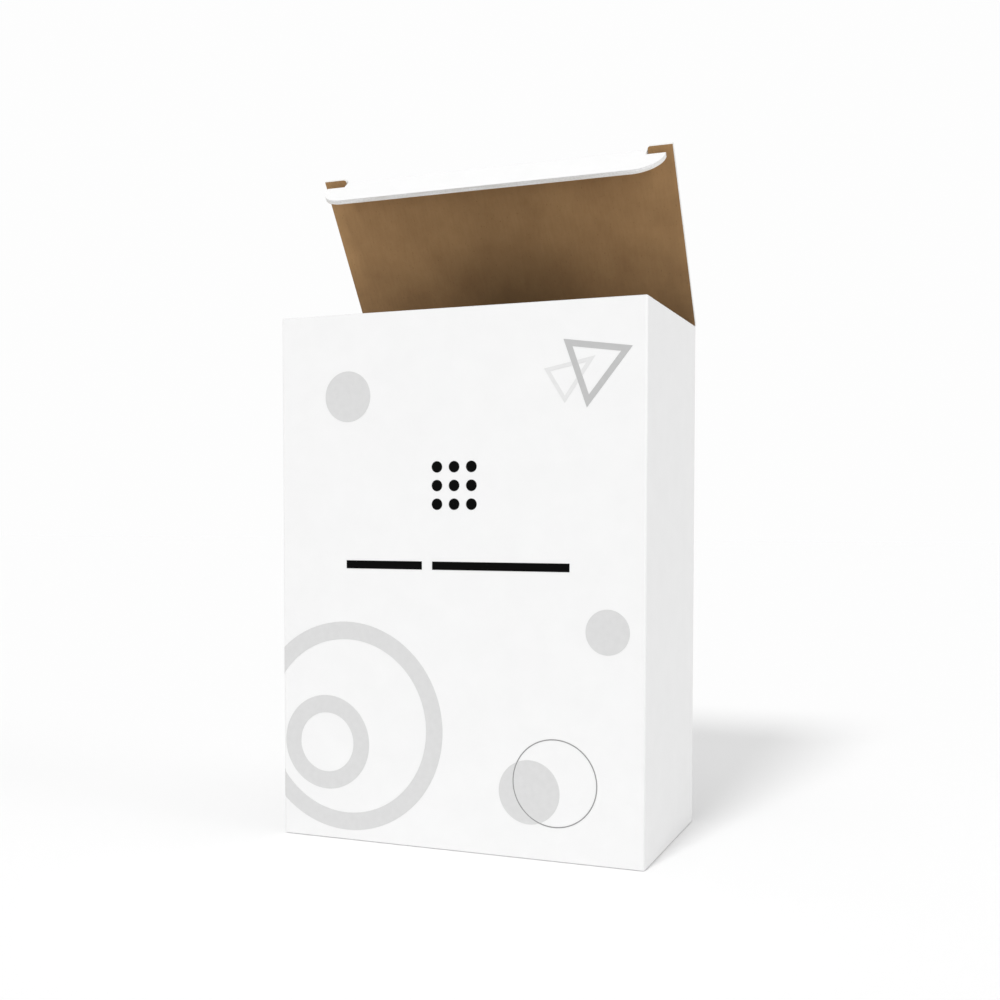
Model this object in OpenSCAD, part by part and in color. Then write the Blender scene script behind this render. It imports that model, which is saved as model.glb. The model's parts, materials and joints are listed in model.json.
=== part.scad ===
// Tuck-top carton with an auto-lock bottom, folded from one die-cut sheet of white-lined board.
// The origin is the centre of the base. The printed front faces -Y, and the lid hangs on the
// top of the back wall. Lengths are in millimetres and angles in degrees.

/* [Carton] */
// Outer width of the printed front
body_w = 152; // [130:1:220]
// Outer depth from front to back
body_d = 80; // [66:1:120]
// Height of the walls
body_h = 210; // [160:1:320]
// Thickness of the board
board_t = 1.9; // [1.2:0.1:2.6]
// Outside radius of a pressed fold in the board
fold_r = 1; // [0.5:0.1:2.5]
// Inside radius of a pressed fold in the board
fold_inner_r = 0.3; // [0.1:0.1:1.5]
// Outside radius of the folds that the carton stands on
foot_r = 0.6; // [0.3:0.1:1.5]

/* [Upright seam] */
// Width of the glue flap behind the back wall
seam_w = 16; // [10:1:24]
// Distance from the top and the bottom of the wall to the glue flap
seam_end_gap = 8; // [6:1:20]
// Rise of the glue flap's slanted ends
seam_slant = 5; // [1:1:12]
// Width and depth of the line that the cut edge of the back wall leaves at the corner
seam_line = 0.3; // [0.1:0.1:0.6]

/* [Dust flaps] */
// Reach of a dust flap from the outside of its wall
dust_l = 50; // [30:1:58]
// Distance from the printed face to the front edge of a dust flap
dust_front_gap = 10; // [8:0.5:16]
// Distance from the outside of the back wall to the back edge of a dust flap
dust_back_gap = 4.5; // [3:0.5:10]
// How far each edge of a dust flap draws in on its way to the end
dust_taper = 5; // [0:0.5:10]
// Outside radius of the folds along the top of the side walls
dust_fold_r = 0.6; // [0.3:0.1:1.5]
// Radius of a dust flap's free corners
dust_corner_r = 9; // [2:0.5:15]

/* [Auto-lock bottom] */
// Reach of a side bottom flap from the outside of its wall
minor_l = 36; // [28:1:44]
// How far the edges of a side bottom flap draw in
minor_taper = 10; // [4:1:16]
// Reach of a glued corner tab along the front, from the outer corner
tab_reach = 28; // [18:1:30]
// How far the free edge of a corner tab leans away from square
tab_lean = 8; // [2:1:14]
// Distance from the corner tabs to the end of the lock line in the middle
lock_gap = 4; // [2:0.5:10]
// How far each bottom flap hooks over the middle
lock_over = 9; // [5:1:14]
// Distance from the middle of the base to the start of a hook
lock_start = 8; // [6:1:14]
// How far a locking tongue lies under its neighbour past the hook
tongue_lap = 6; // [3:1:10]
// Distance between a side bottom flap and the tongue beside it
tongue_gap = 2; // [0.5:0.5:6]
// Width of the open cuts in the bottom
cut_w = 0.6; // [0.3:0.1:1.2]
// Depth and width of the pressed creases in the bottom
crease_w = 0.8; // [0.4:0.1:1.4]

/* [Lid] */
// Lean of the lid from upright, towards the front
lid_lean = 33.9; // [0:0.1:80]
// Distance from the inside of the front wall to the closed lid's tabs
lid_front_gap = 1.6; // [0.6:0.1:4]
// Length of a slit-lock tab along the crease
lock_tab_w = 10; // [6:0.5:16]
// How far a slit-lock tab stands past the crease
lock_tab_over = 2.4; // [1.5:0.1:5]
// Radius of a slit-lock tab's inner corner
lock_tab_r = 1.1; // [0.8:0.1:3.3]
// Width of the slit beside a slit-lock tab
slit_w = 0.3; // [0.3:0.1:1.5]
// Clear gap at a crease, between two panels
crease_gap = 0.3; // [0.2:0.05:0.6]

/* [Tuck flap] */
// Fold of the tuck flap from the plane of the lid
tuck_fold = 96; // [0:1:100]
// Length of the tuck flap from its crease
tuck_l = 16.8; // [14:0.1:30]
// Distance from the crease to the flap's shoulders
tuck_shoulder = 4.2; // [3:0.1:6]
// Clear gap between the flap and each side wall when the carton is shut
tuck_side_gap = 0.3; // [0.2:0.1:3]
// Radius of the flap's free corners
tuck_corner_r = 11.5; // [2:0.5:12]

/* [Print] */
// Thickness of the ink on the board
ink_t = 0.1; // [0.05:0.01:0.2]
// Disc near the top: distance from the left edge and down from the top edge
top_disc_at = [30.1, 32.5]; // [0:0.1:100]
// Diameter of the disc near the top
top_disc_d = 20; // [8:0.5:30]
// Disc half way down: distance from the right edge and up from the base
mid_disc_at = [14.5, 87.4]; // [0:0.1:150]
// Diameter of the disc half way down
mid_disc_d = 17; // [8:0.5:30]
// Disc near the base: distance from the right edge and up from the base
low_disc_at = [45.2, 25.6]; // [0:0.1:100]
// Diameter of the disc near the base
low_disc_d = 24.5; // [8:0.5:40]
// Fine ring near the base: distance from the right edge and up from the base
fine_ring_at = [35, 29.7]; // [0:0.1:100]
// Diameter of the fine ring near the base
fine_ring_d = 33.6; // [20:0.1:45]
// Line width of the fine ring
fine_line = 0.4; // [0.3:0.1:2]
// Left corner of the dark triangle: distance from the right edge and down from the top edge
dark_left = [31.9, 14.3]; // [0:0.1:100]
// Right corner of the dark triangle
dark_right = [5.5, 18]; // [0:0.1:100]
// Low corner of the dark triangle
dark_low = [22.8, 39.8]; // [0:0.1:100]
// Line width of the dark triangle
dark_line = 2.3; // [1:0.1:4]
// Left corner of the light triangle: distance from the right edge and down from the top edge
light_left = [39.5, 24.9]; // [0:0.1:100]
// Right corner of the light triangle
light_right = [19.6, 20.9]; // [0:0.1:100]
// Low corner of the light triangle
light_low = [31.4, 37.9]; // [0:0.1:100]
// Line width of the light triangle
light_line = 1.5; // [1:0.1:3]
// Large ring: distance of its middle from the left edge and up from the base
big_ring_at = [29, 46]; // [0:1:150]
// Outer diameter of the large ring at the left edge
big_ring_d = 84; // [50:1:100]
// How far the smaller ring's middle lies left of and below the large ring's
small_ring_off = [9, 7]; // [0:0.5:30]
// Outer diameter of the smaller ring inside it
small_ring_d = 38; // [20:1:60]
// Line width of both rings
big_line = 7; // [3:0.5:9]
// Distance from the top edge to the middle of the black dot pattern
dots_drop = 68; // [20:1:120]
// Diameter of one dot of the black dot pattern
dot_d = 4.4; // [2:0.1:6]
// Spacing of the dots
dot_pitch = 7.2; // [6.5:0.1:10]
// Dots in each row and column of the pattern
dot_count = 3; // [1:1:5]
// Distance from the top edge to the middle of the black bars
bars_drop = 99; // [20:1:150]
// Height of the black bars
bar_h = 3.2; // [1:0.1:8]
// Length of the short black bar
short_bar_l = 33; // [10:1:45]
// Length of the long black bar
long_bar_l = 56; // [20:1:70]
// Space between the two bars
bar_space = 4.4; // [2:0.1:10]

/* [Hidden] */
$fn = 96;
over = 1;
white_board = [0.95, 0.95, 0.94];
kraft_board = [0.56, 0.43, 0.31];
pale_ink = [0.86, 0.86, 0.86];
light_ink = [0.91, 0.91, 0.91];
grey_ink = [0.72, 0.72, 0.72];
line_ink = [0.45, 0.45, 0.45];
black_ink = [0.04, 0.04, 0.04];

half_w = body_w / 2;
half_d = body_d / 2;
inner_x = half_w - board_t;
inner_y = half_d - board_t;

// The lid's crease is a full round of the board's thickness, so it turns in its place.
hinge_y = half_d - board_t / 2;
hinge_z = body_h + crease_gap + board_t / 2;
lock_half = half_w - tab_reach - lock_gap;
lid_l = hinge_y + inner_y - lid_front_gap;
tuck_crease = lid_l - lock_tab_over;
lid_end = tuck_crease - board_t / 2 - crease_gap;
tuck_half_w = inner_x - tuck_side_gap;
tuck_root_half = half_w - lock_tab_w - slit_w;

function side_of(a, b) = norm(a - b);
function incentre(t) =
    let (a = side_of(t[1], t[2]), b = side_of(t[2], t[0]), c = side_of(t[0], t[1]))
    (a * t[0] + b * t[1] + c * t[2]) / (a + b + c);
function area_of(t) = abs(cross(t[1] - t[0], t[2] - t[0])) / 2;
function inradius(t) =
    2 * area_of(t) / (side_of(t[1], t[2]) + side_of(t[2], t[0]) + side_of(t[0], t[1]));
// Points of the front from their distances to an upright edge and to the top or the base
function top_left(p) = [p[0] - half_w, body_h - p[1]];
function top_right(p) = [half_w - p[0], body_h - p[1]];
function low_left(p) = [p[0] - half_w, p[1]];
function low_right(p) = [half_w - p[0], p[1]];
// The triangle whose sides lie one line width inside those of t
function inset(t, line) = [for (p = t) incentre(t) + (p - incentre(t)) * (1 - line / inradius(t))];

module rounded_rect(w, d, r) {
    square([w - 2 * r, d], center = true);
    square([w, d - 2 * r], center = true);
    for (x = [-1, 1], y = [-1, 1])
        translate([x * (w / 2 - r), y * (d / 2 - r)]) circle(r);
}

// What a corner of radius r loses. The corner is at the origin, and the sheet lies towards +X +Y.
module corner_loss(r) {
    difference() {
        translate([-over, -over]) square(r + over);
        translate([r, r]) circle(r);
    }
}

module stroke(points, width) {
    for (i = [0 : len(points) - 2]) {
        run = points[i + 1] - points[i];
        translate(points[i]) rotate(atan2(run[1], run[0]))
            translate([0, -width / 2]) square([norm(run), width]);
    }
    for (p = points) translate(p) circle(d = width, $fn = 24);
}

// A strip of the board along X whose two lower edges are folded, seen from its end
module folded_foot(w) {
    translate([-w / 2, foot_r]) square([w, body_h - foot_r]);
    translate([-w / 2 + foot_r, 0]) square([w - 2 * foot_r, foot_r + over]);
    for (x = [-1, 1]) translate([x * (w / 2 - foot_r), foot_r]) circle(foot_r);
}

// The outside of the walls: round at three folds, square at the corner with the glued seam,
// and round along the four folds of the base
module outer_block() {
    intersection() {
        linear_extrude(body_h) {
            rounded_rect(body_w, body_d, fold_r);
            translate([-half_w, half_d - 2 * fold_r]) square(2 * fold_r);
        }
        rotate([90, 0, 0]) translate([0, 0, -body_d]) linear_extrude(2 * body_d) folded_foot(body_w);
        rotate([90, 0, 90]) translate([0, 0, -body_w]) linear_extrude(2 * body_w) folded_foot(body_d);
    }
}

// The lock line of the base, one half of it and then the same half turned about the middle
function lock_half_line() = [
    [-lock_half, 0],
    [-lock_half + lock_over / 2, lock_over],
    [-lock_start, lock_over],
    [-lock_start / 2, lock_over / 3]
];
function lock_line() = let (half = lock_half_line())
    concat(half, [for (i = [len(half) - 1 : -1 : 0]) -half[i]]);

// The opening between two glued corner tabs, through which the side bottom flap shows
module tab_window() {
    tab_end = [half_w - tab_reach, half_d - tab_reach];
    polygon([
        [-inner_x, -tab_end[1] - tab_lean],
        [-tab_end[0], -tab_end[1]],
        [-lock_half, 0],
        [-tab_end[0], tab_end[1]],
        [-inner_x, tab_end[1] + tab_lean]
    ]);
}

// The cut that frees a glued corner tab from the side wall's fold
module tab_relief(side) {
    tab_root = half_d - tab_reach + tab_lean;
    stroke([
        [-inner_x + cut_w / 2, side * tab_root],
        [-inner_x + cut_w / 2, side * (inner_y - cut_w)]
    ], cut_w);
}

module base_cuts() {
    translate([0, 0, -over]) linear_extrude(board_t + over) {
        stroke(lock_line(), cut_w);
        for (turn = [0, 180]) rotate(turn) {
            tab_window();
            for (side = [-1, 1]) tab_relief(side);
        }
    }
    // Diagonal creases between the long bottom flaps and their glued tabs
    translate([0, 0, -over]) linear_extrude(over + crease_w / 2)
        for (x = [-1, 1], y = [-1, 1])
            stroke([
                [x * (half_w - fold_r), y * (half_d - fold_r)],
                [x * (half_w - tab_reach), y * (half_d - tab_reach)]
            ], crease_w);
}

// The side bottom flaps, which lie glued on the corner tabs
module minor_flaps() {
    for (turn = [0, 180]) rotate(turn) translate([0, 0, board_t - 0.01]) linear_extrude(board_t + 0.01)
        polygon([
            [-inner_x - board_t / 2, -inner_y + 1],
            [-half_w + minor_l, -inner_y + minor_taper],
            [-half_w + minor_l, inner_y - minor_taper],
            [-inner_x - board_t / 2, inner_y - 1]
        ]);
}

// The tongue that each long bottom flap pushes behind the other one's hook
module lock_tongues() {
    tongue_out = half_w - minor_l - tongue_gap;
    for (turn = [0, 180]) rotate(turn)
        translate([-tongue_out, -tongue_lap, board_t - 0.01]) linear_extrude(board_t + 0.01)
            difference() {
                square([tongue_out - lock_start, lock_over + 2 * tongue_lap]);
                corner_loss(tongue_lap / 2);
                translate([tongue_out - lock_start, 0]) mirror([1, 0]) corner_loss(tongue_lap / 2);
            }
}

// The glue flap of the upright seam, inside the back wall
module seam_flap() {
    low = seam_end_gap;
    high = body_h - seam_end_gap;
    translate([-inner_x - board_t / 2, inner_y, 0]) rotate([90, 0, 0])
        translate([0, 0, -0.01]) linear_extrude(board_t + 0.01)
            polygon([
                [0, low],
                [board_t / 2 + seam_w, low + seam_slant],
                [board_t / 2 + seam_w, high - seam_slant],
                [0, high]
            ]);
}

// The outline of a dust flap. The arcs of its free corners run on smoothly from its drawn-in edges.
module dust_outline() {
    front = -half_d + dust_front_gap;
    back = half_d - dust_back_gap;
    end_x = half_w - dust_l;
    root = (back - front) / 2;
    run = inner_x - end_x;
    slope = norm([run, dust_taper]);
    arc_at = [end_x + dust_corner_r, root - dust_taper - dust_corner_r * (slope - dust_taper) / run];
    touch = arc_at + dust_corner_r / slope * [-dust_taper, run];
    translate([0, (front + back) / 2]) {
        polygon([
            [half_w, -root], [half_w, root],
            [inner_x, root], touch,
            [end_x, arc_at[1]], [end_x, -arc_at[1]],
            [touch[0], -touch[1]], [inner_x, -root]
        ]);
        for (side = [-1, 1]) translate([arc_at[0], side * arc_at[1]]) circle(dust_corner_r);
    }
}

// What the folded top edge of a dust flap loses on the outside of the bend
module dust_fold_loss() {
    front = -half_d + dust_front_gap;
    dust_w = body_d - dust_front_gap - dust_back_gap;
    translate([half_w, front + dust_w, body_h]) rotate([90, 0, 0]) linear_extrude(dust_w)
        rotate(180) corner_loss(dust_fold_r);
}

module dust_flaps() {
    for (turn = [0, 1]) mirror([turn, 0, 0])
        translate([0, 0, body_h - board_t]) linear_extrude(board_t) dust_outline();
}

module carton_body() {
    color(white_board) difference() {
        union() {
            difference() {
                outer_block();
                translate([0, 0, board_t]) linear_extrude(body_h)
                    rounded_rect(2 * inner_x, 2 * inner_y, fold_inner_r);
                base_cuts();
            }
            minor_flaps();
            lock_tongues();
            seam_flap();
            dust_flaps();
        }
        for (turn = [0, 1]) mirror([turn, 0, 0]) dust_fold_loss();
        // Line of the back wall's cut edge beside the seam
        translate([-half_w - over, inner_y - seam_line, fold_r])
            cube([over + seam_line, seam_line, body_h]);
    }
}

// Puts a panel drawn in the XY plane, running along +Y from the hinge, where the lid is.
// +Z of the panel is the inside of the board.
module on_lid() {
    translate([0, hinge_y, hinge_z]) rotate([90 + lid_lean, 0, 0]) children();
}

module board(thickness) {
    translate([0, 0, -thickness / 2]) linear_extrude(thickness) children();
}

module round_root(length) {
    rotate([0, 90, 0]) cylinder(d = board_t, h = length, center = true);
}

module lid() {
    color(kraft_board) on_lid() {
        round_root(body_w);
        board(board_t) {
            translate([-half_w, 0]) square([body_w, lid_end]);
            for (side = [0, 1]) mirror([side, 0])
                translate([half_w - lock_tab_w, 0]) difference() {
                    square([lock_tab_w, lid_l]);
                    translate([0, lid_l]) mirror([0, 1]) corner_loss(lock_tab_r);
                }
        }
    }
}

module tuck_outline() {
    translate([-tuck_root_half, 0]) square([2 * tuck_root_half, tuck_l]);
    difference() {
        translate([-tuck_half_w, tuck_shoulder])
            square([2 * tuck_half_w, tuck_l - tuck_shoulder]);
        for (side = [0, 1]) mirror([side, 0])
            translate([tuck_half_w, tuck_l]) rotate(180) corner_loss(tuck_corner_r);
    }
}

module tuck_flap() {
    color(kraft_board) on_lid() translate([0, tuck_crease, 0]) rotate([tuck_fold, 0, 0]) {
        round_root(2 * tuck_root_half);
        board(board_t) tuck_outline();
    }
}

// Ink on the front, round the two front folds and no further
module on_front() {
    intersection() {
        linear_extrude(body_h) difference() {
            rounded_rect(body_w + 2 * ink_t, body_d + 2 * ink_t, fold_r + ink_t);
            rounded_rect(body_w, body_d, fold_r);
        }
        translate([0, -half_d + fold_r, 0]) rotate([90, 0, 0])
            linear_extrude(fold_r + over) children();
    }
}

module ring(d, line) {
    difference() {
        circle(d = d);
        circle(d = d - 2 * line);
    }
}

module triangle_frame(corners, line) {
    difference() {
        polygon(corners);
        polygon(inset(corners, line));
    }
}

module dark_triangle() {
    triangle_frame([for (p = [dark_left, dark_right, dark_low]) top_right(p)], dark_line);
}

module fine_ring() {
    translate(low_right(fine_ring_at)) ring(fine_ring_d, fine_line);
}

module big_rings() {
    translate(low_left(big_ring_at)) {
        ring(big_ring_d, big_line);
        translate(-small_ring_off) ring(small_ring_d, big_line);
    }
}

module print_pale() {
    color(pale_ink) on_front() {
        translate(top_left(top_disc_at)) circle(d = top_disc_d);
        translate(low_right(mid_disc_at)) circle(d = mid_disc_d);
        big_rings();
        difference() {
            translate(low_right(low_disc_at)) circle(d = low_disc_d);
            fine_ring();
        }
    }
}

module print_light() {
    color(light_ink) on_front() difference() {
        triangle_frame([for (p = [light_left, light_right, light_low]) top_right(p)], light_line);
        dark_triangle();
    }
}

module print_grey() {
    color(grey_ink) on_front() dark_triangle();
}

module print_line() {
    color(line_ink) on_front() fine_ring();
}

module print_black() {
    bars_l = short_bar_l + bar_space + long_bar_l;
    color(black_ink) on_front() {
        for (column = [0 : dot_count - 1], row = [0 : dot_count - 1])
            translate(dot_pitch * [column - (dot_count - 1) / 2, row - (dot_count - 1) / 2])
                translate([0, body_h - dots_drop]) circle(d = dot_d);
        translate([-bars_l / 2, body_h - bars_drop - bar_h / 2]) {
            square([short_bar_l, bar_h]);
            translate([short_bar_l + bar_space, 0]) square([long_bar_l, bar_h]);
        }
    }
}

carton_body();
lid();
tuck_flap();
print_pale();
print_light();
print_grey();
print_line();
print_black();
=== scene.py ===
"""Looks of a tuck-top carton with an auto-lock bottom: white-lined board, kraft inside.

The walls, the base and the dust flaps are one piece with the CAD body's own form. The lid and
the tuck flap are bent slabs of board that cross their creases.
"""
import functools
import json
import math

import bmesh
import bpy
from mathutils import Matrix, Vector


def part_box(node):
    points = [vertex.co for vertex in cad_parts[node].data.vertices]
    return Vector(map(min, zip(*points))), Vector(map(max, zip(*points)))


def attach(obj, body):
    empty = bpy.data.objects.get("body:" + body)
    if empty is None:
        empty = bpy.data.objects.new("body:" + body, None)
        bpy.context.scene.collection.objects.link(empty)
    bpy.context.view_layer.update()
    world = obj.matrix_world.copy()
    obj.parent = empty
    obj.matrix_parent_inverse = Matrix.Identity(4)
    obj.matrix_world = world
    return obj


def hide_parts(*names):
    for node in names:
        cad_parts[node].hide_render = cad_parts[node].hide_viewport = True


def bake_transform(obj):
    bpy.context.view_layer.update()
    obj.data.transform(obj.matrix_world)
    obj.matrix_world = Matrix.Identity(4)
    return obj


MM = 0.001

# Camera, fitted to the corners of the walls in the photo
CAMERA_AT = (0.18834, -0.47333, 0.13028)
CAMERA_YAW = -0.3726
CAMERA_PITCH = -0.0419
CAMERA_ROLL = 0.0008
CAMERA_LENS = 44.14
CAMERA_SHIFT_Y = 0.0674

# Board, lid, tuck flap and dust flaps
LINER_T = 0.1 * MM
LOCK_TAB_W = 10 * MM
LOCK_TAB_OVER = 2.4 * MM
LOCK_TAB_R = 1.1 * MM
SLIT_W = 0.3 * MM
CREASE_GAP = 0.3 * MM
TUCK_L = 16.8 * MM
TUCK_SHOULDER = 4.2 * MM
TUCK_CORNER_R = 11.5 * MM
TUCK_SIDE_GAP = 0.3 * MM
DUST_FRONT_GAP = 10 * MM
DUST_BACK_GAP = 4.5 * MM
CORNER_STEPS = 14

# Bends: the strip of the lid that belongs to the tuck flap's slab, the rows of the tuck crease
# on each side of its middle, how far apart they lie along the sheet, and how far they reach on
# the inner face
TUCK_STRIP = 3.5 * MM
BEND_STEPS = 2
BEND_STEP = 0.25 * MM
INNER_REACH = 1.1 * MM

# Finish of the walls' top edge, and what counts as smooth
TOP_BEVEL = 0.35 * MM
BEVEL_SEGMENTS = 2
SMOOTH_ANGLE = math.radians(35)
FLAT_FACES_FIRST = 100

# Depth of the base's creases, and how far the round inner folds stand in from the walls
CREASE_DEPTH = 0.4 * MM
FOLD_REACH = 0.1 * MM

# Tolerances of length. A face is level when its normal's share along Z is over LEVEL, and
# upright when that share is under UPRIGHT.
TINY = 0.02 * MM
SAME_PLACE = 0.001 * MM
CUT_PLACE = 0.0001 * MM
LEVEL = 0.9
UPRIGHT = 0.1

# Material slots of a board piece, in the order in which they are added to its mesh
OUTSIDE, INSIDE, EDGE = range(3)

# Tones of the board. Painted shade darkens the kraft by the lid's crease, out to its reach.
WHITE_LINER = 0.79
WHITE_MOTTLE = 0.01
# How far from the lid's crease the painted shade on the kraft reaches
PAINTED_SHADE_REACH = 42 * MM
KRAFT_DARK = (0.300, 0.173, 0.077)
KRAFT_LIGHT = (0.383, 0.229, 0.104)
PULP_DARK = 0.70
PULP_LIGHT = 0.88
PULP_TINT = (0.86, 0.84, 0.80)

# Tones of the inks, how far they mottle, and their gloss, which rises with the tone
INKS = {
    "print_pale": 0.608,
    "print_light": 0.685,
    "print_grey": 0.462,
    "print_line": 0.27,
    "print_black": 0.003,
}
INK_MOTTLE = 0.02
INK_GLOSS = 0.02
INK_GLOSS_RISE = 0.5

# Floor and studio. Each light: strength, angle over which it spreads, and where it comes from.
FLOOR_HALF = 6
FLOOR_TONE = 0.89
FLOOR_DROP = 0.1 * MM
SKY = 0.6
BACKDROP = 0.985
LIGHTS = {
    "key": (1.38, math.radians(12), Vector((-0.085, -0.738, 0.669))),
    "top": (0.6, math.radians(60), Vector((0, -0.1, 1))),
    "side_fill": (1.0, math.radians(24), Vector((0.95, -0.1, 0.04))),
}

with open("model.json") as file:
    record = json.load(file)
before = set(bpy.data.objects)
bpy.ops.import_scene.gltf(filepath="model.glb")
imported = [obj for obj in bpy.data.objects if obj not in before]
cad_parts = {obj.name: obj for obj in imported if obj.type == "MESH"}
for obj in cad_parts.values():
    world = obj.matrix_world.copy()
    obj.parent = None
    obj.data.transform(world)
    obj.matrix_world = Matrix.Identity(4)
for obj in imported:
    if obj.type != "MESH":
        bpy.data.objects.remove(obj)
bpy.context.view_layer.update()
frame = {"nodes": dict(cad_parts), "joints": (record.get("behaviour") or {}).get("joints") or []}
joints = {joint["name"]: joint for joint in frame["joints"]}

body_low, body_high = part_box("carton_body")
HALF_W = body_high.x
HALF_D = body_high.y
BODY_H = body_high.z
LID_HINGE = Vector(joints["lid_crease"]["pos_m"])
TUCK_HINGE = Vector(joints["tuck_crease"]["pos_m"])
TUCK_FOLD = math.radians(joints["tuck_crease"]["range_deg"][1])
HALF_T = HALF_D - LID_HINGE.y
BOARD_T = 2 * HALF_T
INNER_X = HALF_W - BOARD_T
INNER_Y = HALF_D - BOARD_T
LID_LEAN = math.atan2(LID_HINGE.y - TUCK_HINGE.y, TUCK_HINGE.z - LID_HINGE.z)
TUCK_CREASE = (TUCK_HINGE - LID_HINGE).length
LID_L = TUCK_CREASE + LOCK_TAB_OVER
LID_END = TUCK_CREASE - HALF_T - CREASE_GAP
STRIP_START = TUCK_CREASE - TUCK_STRIP
TUCK_ROOT_HALF = HALF_W - LOCK_TAB_W - SLIT_W
TUCK_HALF_W = INNER_X - TUCK_SIDE_GAP


def side_vector(angle):
    """A unit vector in the YZ plane, at that angle from straight up, leaning to the front."""
    return Vector((0, -math.sin(angle), math.cos(angle)))


def outward(angle):
    """The outer side of a panel that runs along side_vector(angle)."""
    return Vector((0, math.cos(angle), math.sin(angle)))


def arc(centre, radius, start, end):
    """Points of a flat arc, from one angle in degrees to another."""
    shares = [step / CORNER_STEPS for step in range(CORNER_STEPS + 1)]
    turns = [math.radians(start + (end - start) * share) for share in shares]
    return [(centre[0] + radius * math.cos(a), centre[1] + radius * math.sin(a)) for a in turns]


def mirrored(right_side):
    """A closed outline from its right side, given from the bottom to the top."""
    return right_side + [(-x, reach) for x, reach in reversed(right_side)]


# Profiles: how a panel runs through its crease. Each row is the reach, which is the distance
# along the sheet from the crease, then a point on the outer face and one on the inner face.

def flat_row(reach, hinge, angle):
    """A row on a flat panel that leans at that angle from the hinge."""
    middle = hinge + side_vector(angle) * reach
    offset = outward(angle) * HALF_T
    return (reach, middle + offset, middle - offset)


def lid_profile():
    """From the back wall's top edge, round the crease and up the leaning lid."""
    foot = LID_HINGE.z - BODY_H
    bisector = outward(LID_LEAN / 2)
    inner_r = HALF_T / math.cos(LID_LEAN / 2)
    return [
        flat_row(-foot, LID_HINGE, 0),
        (0, LID_HINGE + bisector * HALF_T, LID_HINGE - bisector * inner_r),
        flat_row(foot, LID_HINGE, LID_LEAN),
        flat_row(LID_L, LID_HINGE, LID_LEAN),
    ]


def tuck_profile():
    """From a strip of the lid, round the crease and down the folded flap."""
    folded = LID_LEAN + TUCK_FOLD
    corner = HALF_T * math.tan(TUCK_FOLD / 2)
    rows = [flat_row(-TUCK_STRIP, TUCK_HINGE, LID_LEAN)]
    for step in range(-BEND_STEPS, BEND_STEPS + 1):
        turn = TUCK_FOLD * (step + BEND_STEPS) / (2 * BEND_STEPS)
        outer = TUCK_HINGE + outward(LID_LEAN + turn) * HALF_T
        back = corner + INNER_REACH * abs(step) / BEND_STEPS
        panel, along = (LID_LEAN, -back) if step <= 0 else (folded, back)
        inner = TUCK_HINGE + side_vector(panel) * along - outward(panel) * HALF_T
        rows.append((step * BEND_STEP, outer, inner))
    rows.append(flat_row(TUCK_STRIP, TUCK_HINGE, folded))
    rows.append(flat_row(TUCK_L, TUCK_HINGE, folded))
    return rows


def lid_outline(foot):
    """The lid with its slit-lock tabs, and a notch where the tuck flap's strip lies."""
    tab_inner = HALF_W - LOCK_TAB_W
    round_at = (tab_inner + LOCK_TAB_R, LID_L - LOCK_TAB_R)
    right = [(HALF_W, foot), (HALF_W, LID_L)]
    right += arc(round_at, LOCK_TAB_R, 90, 180)
    right += [(tab_inner, LID_END), (TUCK_ROOT_HALF, LID_END), (TUCK_ROOT_HALF, STRIP_START)]
    return mirrored(right)


def tuck_outline():
    """The tuck flap with its cut shoulders and round free corners, and its strip of the lid."""
    corner = (TUCK_HALF_W - TUCK_CORNER_R, TUCK_L - TUCK_CORNER_R)
    right = [(TUCK_ROOT_HALF, -TUCK_STRIP), (TUCK_ROOT_HALF, TUCK_SHOULDER)]
    right += [(TUCK_HALF_W, TUCK_SHOULDER)]
    right += arc(corner, TUCK_CORNER_R, 0, 90)
    return mirrored(right)


def on_profile(profile, reach, depth):
    """The point at that reach along a profile, depth below the outer face."""
    rows = zip(profile, profile[1:])
    low, high = next(pair for pair in rows if reach <= pair[1][0] + CUT_PLACE)
    share = (reach - low[0]) / (high[0] - low[0])
    outer = low[1].lerp(high[1], share)
    inner = low[2].lerp(high[2], share)
    return outer.lerp(inner, depth / BOARD_T)


def keep_board_place(mesh, places):
    """Stores each vertex's place in the board's texture. Y is its distance from the lid's crease."""
    stored = mesh.attributes.new("board_at", "FLOAT_VECTOR", "POINT")
    stored.data.foreach_set("vector", [value for place in places for value in place])


def flat_sheet(outline, reaches):
    """A flat face with that outline, parted across at each reach."""
    flat = bmesh.new()
    flat.faces.new([flat.verts.new((x, reach, 0)) for x, reach in outline])
    for reach in reaches:
        geometry = flat.verts[:] + flat.edges[:] + flat.faces[:]
        bmesh.ops.bisect_plane(flat, geom=geometry, dist=CUT_PLACE, plane_co=(0, reach, 0),
                               plane_no=(0, 1, 0))
    flat.verts.index_update()
    return flat


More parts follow.
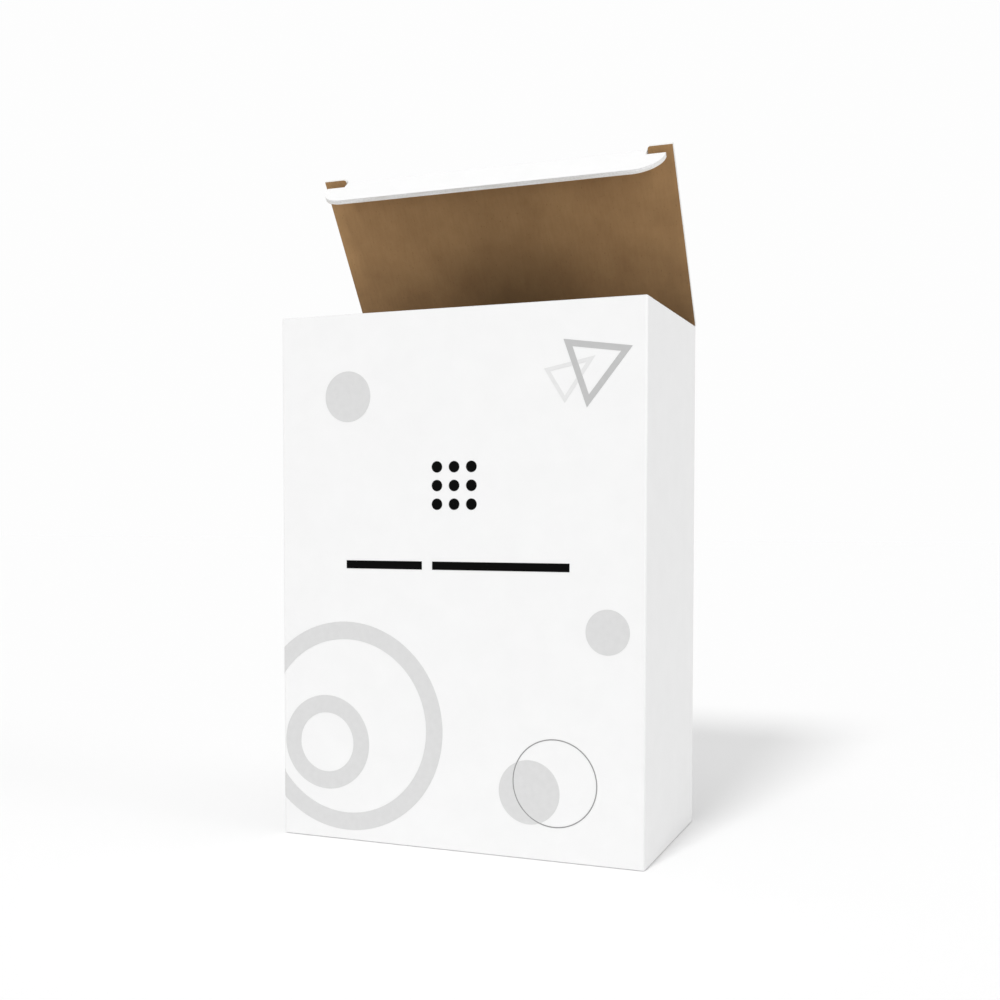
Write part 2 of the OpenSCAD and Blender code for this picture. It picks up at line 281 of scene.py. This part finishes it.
def bent_slab(name, outline, profile, sheet_start):
    """A slab of board with that flat outline, bent along a profile.

    sheet_start is how far the profile's reach of 0 lies from the lid's crease, along the sheet.
    """
    flat = flat_sheet(outline, [reach for reach, _outer, _inner in profile[1:-1]])
    solid = bmesh.new()
    layers = []
    places = []
    for depth in (0, LINER_T, BOARD_T - LINER_T, BOARD_T):
        layer = []
        for vert in flat.verts:
            point = on_profile(profile, vert.co.y, depth)
            layer.append(solid.verts.new((vert.co.x, point.y, point.z)))
            places.append((vert.co.x, sheet_start + vert.co.y, depth))
        layers.append(layer)
    for face in flat.faces:
        loop = [vert.index for vert in face.verts]
        solid.faces.new([layers[0][i] for i in loop]).material_index = OUTSIDE
        solid.faces.new([layers[-1][i] for i in reversed(loop)]).material_index = INSIDE
    for edge in flat.edges:
        if len(edge.link_faces) != 1:
            continue
        a, b = (vert.index for vert in edge.verts)
        for slot, upper, lower in zip((OUTSIDE, EDGE, INSIDE), layers, layers[1:]):
            solid.faces.new([upper[a], upper[b], lower[b], lower[a]]).material_index = slot
    bmesh.ops.recalc_face_normals(solid, faces=solid.faces[:])
    mesh = bpy.data.meshes.new(name)
    solid.to_mesh(mesh)
    flat.free()
    solid.free()
    keep_board_place(mesh, places)
    return finish_board(name, mesh)


def finish_board(name, mesh):
    """Adds the board's materials and soft folds between flat faces."""
    for make in (white_liner, kraft_liner, cut_edge):
        mesh.materials.append(make())
    mesh.shade_smooth()
    mesh.set_sharp_from_angle(angle=SMOOTH_ANGLE)
    piece = bpy.data.objects.new(name, mesh)
    bpy.context.scene.collection.objects.link(piece)
    weighted = piece.modifiers.new("flat faces first", "WEIGHTED_NORMAL")
    weighted.keep_sharp = True
    weighted.weight = FLAT_FACES_FIRST
    return piece


# The folded body

def in_base_or_dust_flap(point):
    return point.z < 2 * BOARD_T + TINY or point.z > BODY_H - BOARD_T - TINY


def within_walls(point):
    return abs(point.x) < INNER_X - TINY and abs(point.y) < INNER_Y - TINY


def is_top(face):
    return face.normal.z > LEVEL and face.calc_center_median().z > BODY_H - TINY


def is_cut_edge(face):
    """A cut edge of a dust flap or of the base, inside the walls."""
    centre = face.calc_center_median()
    upright = abs(face.normal.z) < UPRIGHT
    return in_base_or_dust_flap(centre) and within_walls(centre) and upright


def is_seam_edge(face):
    """A cut edge of the glue flap, which lies on the inside of the back wall."""
    centre = face.calc_center_median()
    in_seam_flap = centre.y > INNER_Y - BOARD_T + TINY
    return in_seam_flap and within_walls(centre) and not in_base_or_dust_flap(centre)


def is_top_outer_edge(edge):
    """An edge round the outside of the walls' top, except along the lid's crease."""
    middle = (edge.verts[0].co + edge.verts[1].co) / 2
    at_lid = middle.y > HALF_D - TINY
    if middle.z < BODY_H - TINY or at_lid or within_walls(middle):
        return False
    upright = [face for face in edge.link_faces if abs(face.normal.z) < UPRIGHT]
    return len(upright) == 1 and upright[0].normal.dot(middle) > 0 and len(edge.link_faces) == 2


def level_plane(height):
    return ((0, 0, height), (0, 0, 1))


def plane_across_depth(y):
    return ((0, y, 0), (0, 1, 0))


def plane_across_width(x):
    return ((x, 0, 0), (1, 0, 0))


def liner_planes():
    """Planes between the liners and the pulp, in the dust flaps and in the layers of the base."""
    heights = [BODY_H - LINER_T, BODY_H - BOARD_T + LINER_T]
    for layer in (0, BOARD_T):
        heights += [layer + LINER_T, layer + BOARD_T - LINER_T]
    return [level_plane(height) for height in heights]


def seam_planes():
    """Planes between the liners and the pulp in the glue flap."""
    return [plane_across_depth(INNER_Y - depth) for depth in (LINER_T, BOARD_T - LINER_T)]


def top_planes():
    """Planes that part the top faces into cut edges, liner and dust flaps."""
    planes = [plane_across_depth(y) for y in (-HALF_D + DUST_FRONT_GAP, HALF_D - DUST_BACK_GAP)]
    for side in (-1, 1):
        planes.append(plane_across_width(side * (INNER_X + LINER_T)))
        planes.append(plane_across_depth(side * (INNER_Y + LINER_T)))
    return planes


def cut_faces(shape, belongs, planes):
    """Parts the faces that belong along planes, each given by a point and a normal."""
    for point, normal in planes:
        parts = set(face for face in shape.faces if belongs(face))
        for face in list(parts):
            parts.update(face.verts)
            parts.update(face.edges)
        bmesh.ops.bisect_plane(shape, geom=list(parts), dist=CUT_PLACE, plane_co=point,
                               plane_no=normal)


def depth_in_board(point):
    """How deep below its white side a cut edge lies, in a flap or in a layer of the base."""
    if not in_base_or_dust_flap(point):
        return INNER_Y - point.y
    if point.z > BODY_H / 2:
        return BODY_H - point.z
    return point.z % BOARD_T


def body_slot(centre, normal):
    """Which side of the board a face of the folded body shows."""
    past_inner = max(abs(centre.x) - INNER_X, abs(centre.y) - INNER_Y)
    if normal.z > LEVEL and centre.z > BODY_H - TINY:
        if -HALF_D + DUST_FRONT_GAP < centre.y < HALF_D - DUST_BACK_GAP:
            return OUTSIDE
        return EDGE if past_inner > LINER_T else INSIDE
    under_flap = past_inner > -TINY and centre.z < BOARD_T
    if past_inner > TINY or under_flap or centre.z < CREASE_DEPTH + TINY:
        return OUTSIDE
    if normal.z < -LEVEL and centre.z < 2 * BOARD_T:
        return OUTSIDE
    on_panel = abs(normal.z) > LEVEL and in_base_or_dust_flap(centre)
    on_seam_flap = abs(centre.y - INNER_Y + BOARD_T) < TINY and abs(normal.y) > LEVEL
    if on_panel or on_seam_flap or past_inner > -FOLD_REACH:
        return INSIDE
    depth = depth_in_board(centre)
    if depth < LINER_T:
        return OUTSIDE
    return INSIDE if depth > BOARD_T - LINER_T else EDGE


def folded_body():
    """The walls, base and dust flaps, with the CAD body's own form."""
    shape = bmesh.new()
    shape.from_mesh(frame["nodes"]["carton_body"].data)
    bmesh.ops.remove_doubles(shape, verts=shape.verts[:], dist=SAME_PLACE)
    rim = [edge for edge in shape.edges if is_top_outer_edge(edge)]
    bmesh.ops.bevel(shape, geom=rim, offset=TOP_BEVEL, segments=BEVEL_SEGMENTS, affect="EDGES")
    cut_faces(shape, is_top, top_planes())
    cut_faces(shape, is_cut_edge, liner_planes())
    cut_faces(shape, is_seam_edge, seam_planes())
    bmesh.ops.dissolve_degenerate(shape, dist=SAME_PLACE, edges=shape.edges[:])
    for face in shape.faces:
        face.material_index = body_slot(face.calc_center_median(), face.normal)
    mesh = bpy.data.meshes.new("folded_body")
    shape.to_mesh(mesh)
    shape.free()
    keep_board_place(mesh, [(at.x, BODY_H - at.z, at.y) for at in (v.co for v in mesh.vertices)])
    return finish_board("folded_body", mesh)


# Materials

def new_material(name):
    material = bpy.data.materials.new(name)
    material.use_nodes = True
    nodes = material.node_tree.nodes
    return material, nodes, material.node_tree.links, nodes["Principled BSDF"]


def noise(nodes, links, coordinates, scale, detail=4.0, roughness=0.55, stretch=(1, 1, 1)):
    mapping = nodes.new("ShaderNodeMapping")
    mapping.inputs["Scale"].default_value = stretch
    links.new(coordinates, mapping.inputs["Vector"])
    texture = nodes.new("ShaderNodeTexNoise")
    texture.inputs["Scale"].default_value = scale
    texture.inputs["Detail"].default_value = detail
    texture.inputs["Roughness"].default_value = roughness
    links.new(mapping.outputs["Vector"], texture.inputs["Vector"])
    return texture.outputs["Fac"]


def ramp(nodes, links, value, stops):
    """A colour ramp. Each stop is its place and its colour."""
    node = nodes.new("ShaderNodeValToRGB")
    elements = node.color_ramp.elements
    for element, (place, colour) in zip(elements, stops):
        element.position = place
        element.color = (*colour, 1)
    links.new(value, node.inputs["Fac"])
    return node.outputs["Color"]


def multiplied(nodes, links, first, second, factor=1.0):
    node = nodes.new("ShaderNodeMix")
    node.data_type = "RGBA"
    node.blend_type = "MULTIPLY"
    node.inputs["Factor"].default_value = factor
    links.new(first, node.inputs["A"])
    links.new(second, node.inputs["B"])
    return node.outputs["Result"]


def bumped(nodes, links, shader, height, strength, distance):
    node = nodes.new("ShaderNodeBump")
    node.inputs["Strength"].default_value = strength
    node.inputs["Distance"].default_value = distance
    links.new(height, node.inputs["Height"])
    links.new(node.outputs["Normal"], shader.inputs["Normal"])


def finish(shader, roughness, specular):
    shader.inputs["Roughness"].default_value = roughness
    shader.inputs["Specular IOR Level"].default_value = specular


def grey(value):
    return (value, value, value)


def board_place(nodes):
    node = nodes.new("ShaderNodeAttribute")
    node.attribute_name = "board_at"
    return node.outputs["Vector"]


@functools.cache
def white_liner():
    """Smooth white top liner: even, with a trace of formation and fine fibre."""
    material, nodes, links, shader = new_material("white_liner")
    place = board_place(nodes)
    cloud = noise(nodes, links, place, scale=90, detail=3)
    fibre = noise(nodes, links, place, scale=2600, detail=5, roughness=0.65)
    low, high = WHITE_LINER * (1 - WHITE_MOTTLE), WHITE_LINER * (1 + WHITE_MOTTLE)
    colour = ramp(nodes, links, cloud, [(0.3, grey(low)), (0.7, grey(high))])
    links.new(colour, shader.inputs["Base Color"])
    finish(shader, roughness=0.62, specular=0.35)
    bumped(nodes, links, shader, fibre, strength=0.12, distance=0.03 * MM)
    return material


def painted_crease_shade(nodes, links, place):
    """Painted shade: dark by the lid's crease and at the walls' top, light from the shade's reach
    on.
    """
    from_crease = nodes.new("ShaderNodeSeparateXYZ")
    links.new(place, from_crease.inputs["Vector"])
    reach = nodes.new("ShaderNodeMapRange")
    reach.inputs["From Max"].default_value = PAINTED_SHADE_REACH
    links.new(from_crease.outputs["Y"], reach.inputs["Value"])
    return ramp(nodes, links, reach.outputs["Result"], [(0.2, grey(0.6)), (1.0, grey(1.0))])


@functools.cache
def kraft_liner():
    """Uncoated kraft: blotchy brown, fibres that run one way, dark specks; painted shade by the
    crease.
    """
    material, nodes, links, shader = new_material("kraft_liner")
    place = board_place(nodes)
    cloud = noise(nodes, links, place, scale=55, detail=6, roughness=0.6)
    fibres = noise(nodes, links, place, scale=900, roughness=0.6, stretch=(1, 0.16, 1))
    specks = noise(nodes, links, place, scale=1500, detail=2, roughness=0.5, stretch=(1, 0.5, 1))
    base = ramp(nodes, links, cloud, [(0.28, KRAFT_DARK), (0.72, KRAFT_LIGHT)])
    streaks = ramp(nodes, links, fibres, [(0.35, grey(0.94)), (0.65, grey(1.0))])
    dots = ramp(nodes, links, specks, [(0.24, grey(0.55)), (0.34, grey(1.0))])
    base = multiplied(nodes, links, base, streaks)
    base = multiplied(nodes, links, base, dots, factor=0.6)
    # Painted shade: darker towards the lid's crease and the walls' top
    base = multiplied(nodes, links, base, painted_crease_shade(nodes, links, place))
    links.new(base, shader.inputs["Base Color"])
    finish(shader, roughness=0.85, specular=0.2)
    bumped(nodes, links, shader, fibres, strength=0.35, distance=0.06 * MM)
    return material


@functools.cache
def cut_edge():
    """Die-cut edge of the board: pale pulp with short torn fibres."""
    material, nodes, links, shader = new_material("cut_edge")
    place = board_place(nodes)
    pulp = noise(nodes, links, place, scale=1400, detail=5, roughness=0.7)
    bands = noise(nodes, links, place, scale=700, detail=3, roughness=0.5, stretch=(0.12, 0.12, 3))
    base = ramp(nodes, links, pulp, [(0.3, grey(PULP_DARK)), (0.7, grey(PULP_LIGHT))])
    tint = ramp(nodes, links, bands, [(0.35, PULP_TINT), (0.65, grey(1.0))])
    links.new(multiplied(nodes, links, base, tint), shader.inputs["Base Color"])
    finish(shader, roughness=0.9, specular=0.2)
    bumped(nodes, links, shader, pulp, strength=0.5, distance=0.08 * MM)
    return material


def ink(name, tone):
    """A printed tint on the liner: nearly even, with a slight mottle."""
    material, nodes, links, shader = new_material(name)
    place = nodes.new("ShaderNodeTexCoord").outputs["Object"]
    mottle = noise(nodes, links, place, scale=420)
    fibre = noise(nodes, links, place, scale=2600, detail=5, roughness=0.65)
    low, high = tone * (1 - INK_MOTTLE), tone * (1 + INK_MOTTLE)
    colour = ramp(nodes, links, mottle, [(0.3, grey(low)), (0.7, grey(high))])
    links.new(colour, shader.inputs["Base Color"])
    finish(shader, roughness=0.6, specular=INK_GLOSS + INK_GLOSS_RISE * tone)
    bumped(nodes, links, shader, fibre, strength=0.12, distance=0.03 * MM)
    return material


def print_inks():
    for node, tone in INKS.items():
        mesh = frame["nodes"][node].data
        mesh.materials.clear()
        mesh.materials.append(ink(node + "_ink", tone))


# Scene

def camera():
    data = bpy.data.cameras.new("camera")
    data.lens = CAMERA_LENS
    data.shift_y = CAMERA_SHIFT_Y
    cosine = math.cos(CAMERA_PITCH)
    ahead = Vector((math.sin(CAMERA_YAW) * cosine, math.cos(CAMERA_YAW) * cosine,
                    math.sin(CAMERA_PITCH)))
    level = Vector((math.cos(CAMERA_YAW), -math.sin(CAMERA_YAW), 0))
    above = level.cross(ahead)
    right = level * math.cos(CAMERA_ROLL) + above * math.sin(CAMERA_ROLL)
    up = above * math.cos(CAMERA_ROLL) - level * math.sin(CAMERA_ROLL)
    turn = Matrix((right, up, -ahead)).transposed()
    holder = bpy.data.objects.new("camera", data)
    holder.matrix_world = Matrix.Translation(CAMERA_AT) @ turn.to_4x4()
    bpy.context.scene.collection.objects.link(holder)
    bpy.context.scene.camera = holder


def floor():
    corners = [(x * FLOOR_HALF, y * FLOOR_HALF, 0) for x, y in ((-1, -1), (1, -1), (1, 1), (-1, 1))]
    mesh = bpy.data.meshes.new("floor")
    mesh.from_pydata(corners, [], [(0, 1, 2, 3)])
    material, _nodes, _links, shader = new_material("floor_paper")
    shader.inputs["Base Color"].default_value = (*grey(FLOOR_TONE), 1)
    finish(shader, roughness=1, specular=0)
    mesh.materials.append(material)
    piece = bpy.data.objects.new("floor", mesh)
    piece.location.z = -FLOOR_DROP
    bpy.context.scene.collection.objects.link(piece)


def surround():
    """An even bright studio, a little brighter where the camera sees it as the backdrop."""
    world = bpy.data.worlds.new("studio")
    world.use_nodes = True
    nodes = world.node_tree.nodes
    links = world.node_tree.links
    seen = nodes.new("ShaderNodeMix")
    seen.inputs["A"].default_value = SKY
    seen.inputs["B"].default_value = BACKDROP
    background = nodes["Background"]
    background.inputs["Color"].default_value = (1, 1, 1, 1)
    links.new(nodes.new("ShaderNodeLightPath").outputs["Is Camera Ray"], seen.inputs["Factor"])
    links.new(seen.outputs["Result"], background.inputs["Strength"])
    bpy.context.scene.world = world


def lights():
    for name, (energy, angle, comes_from) in LIGHTS.items():
        light = bpy.data.lights.new(name, "SUN")
        light.energy = energy
        light.angle = angle
        lamp = bpy.data.objects.new(name, light)
        lamp.rotation_mode = "QUATERNION"
        lamp.rotation_quaternion = comes_from.to_track_quat("Z", "Y")
        bpy.context.scene.collection.objects.link(lamp)
    view = bpy.context.scene.view_settings
    view.view_transform = "Standard"
    view.look = "None"


def add_body():
    body = folded_body()
    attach(body, "carton")
    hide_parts("carton_body")


def add_lid():
    rows = lid_profile()
    lid = bent_slab("lid_board", lid_outline(rows[0][0]), rows, sheet_start=0)
    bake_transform(lid)
    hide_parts("lid")


def add_tuck_flap():
    tuck = bent_slab("tuck_board", tuck_outline(), tuck_profile(), sheet_start=TUCK_CREASE)
    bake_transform(tuck)
    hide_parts("tuck_flap")


camera()
floor()
surround()
lights()
print_inks()
add_body()
add_lid()
add_tuck_flap()
